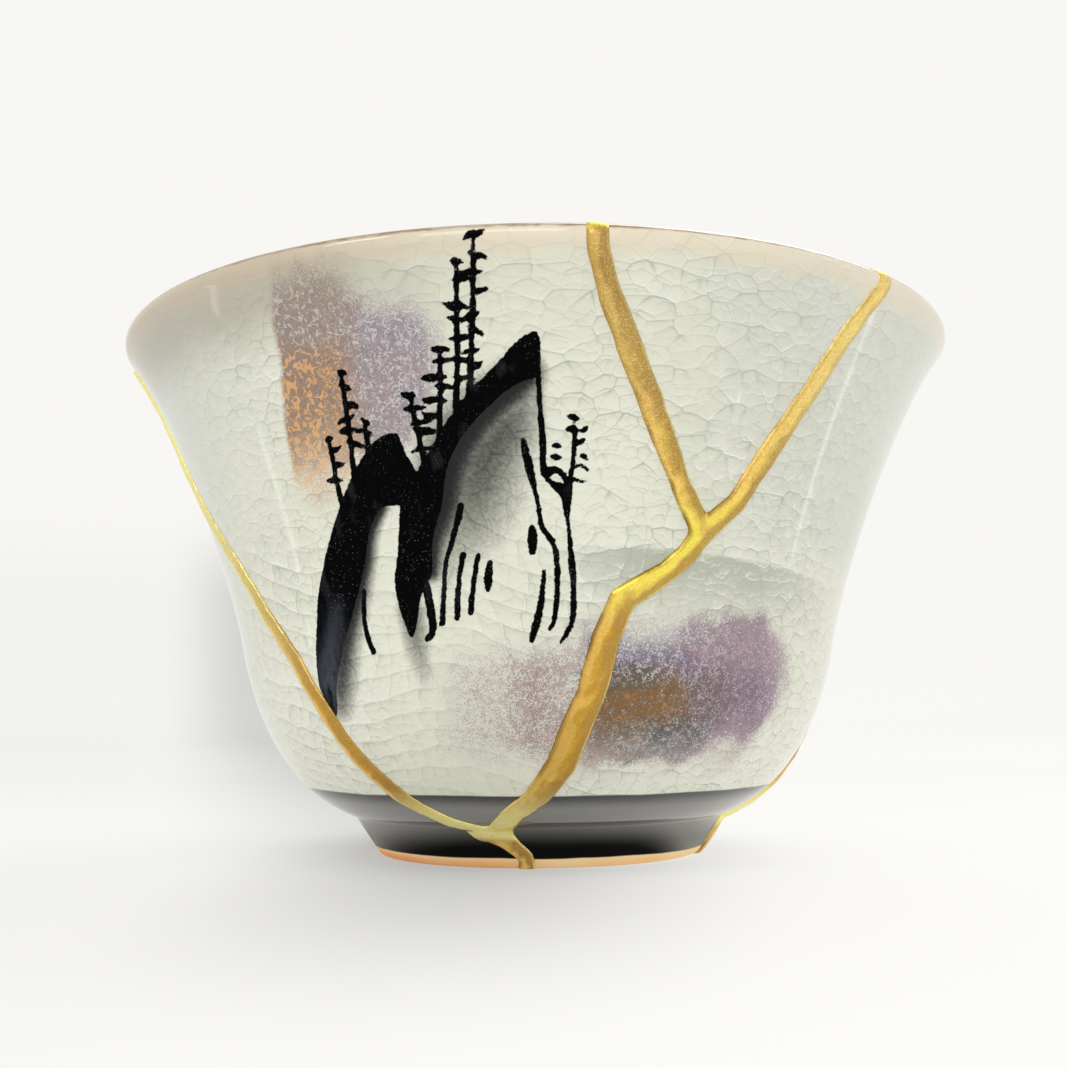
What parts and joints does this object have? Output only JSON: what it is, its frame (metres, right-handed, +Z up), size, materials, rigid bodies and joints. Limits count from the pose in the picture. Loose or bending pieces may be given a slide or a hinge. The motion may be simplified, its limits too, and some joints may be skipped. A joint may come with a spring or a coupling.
{
  "type": "kintsugi tea cup",
  "caption": "Small flared tea cup on a foot ring, broken and joined again with raised gold lacquer seams, with an ink landscape on a crackled pale glaze.",
  "frame": {"origin": "centre of the foot's underside, where the cup stands", "axes": "+Z up through the mouth, -Y towards the painted front, +X to the right of the painting"},
  "size_m": [0.09, 0.0898, 0.0546],
  "materials": {
    "crackle-glaze": "glossy crackled pale celadon glaze with ink painting",
    "gold-lacquer": "satin gold powder on lacquer"
  },
  "bodies": {
    "root": {"painted-front-sherd": "crackle-glaze", "rim-wedge-sherd": "crackle-glaze", "right-sherd": "crackle-glaze", "base-and-back-sherd": "crackle-glaze", "gold-seam": "gold-lacquer"}
  },
  "joints": []
}
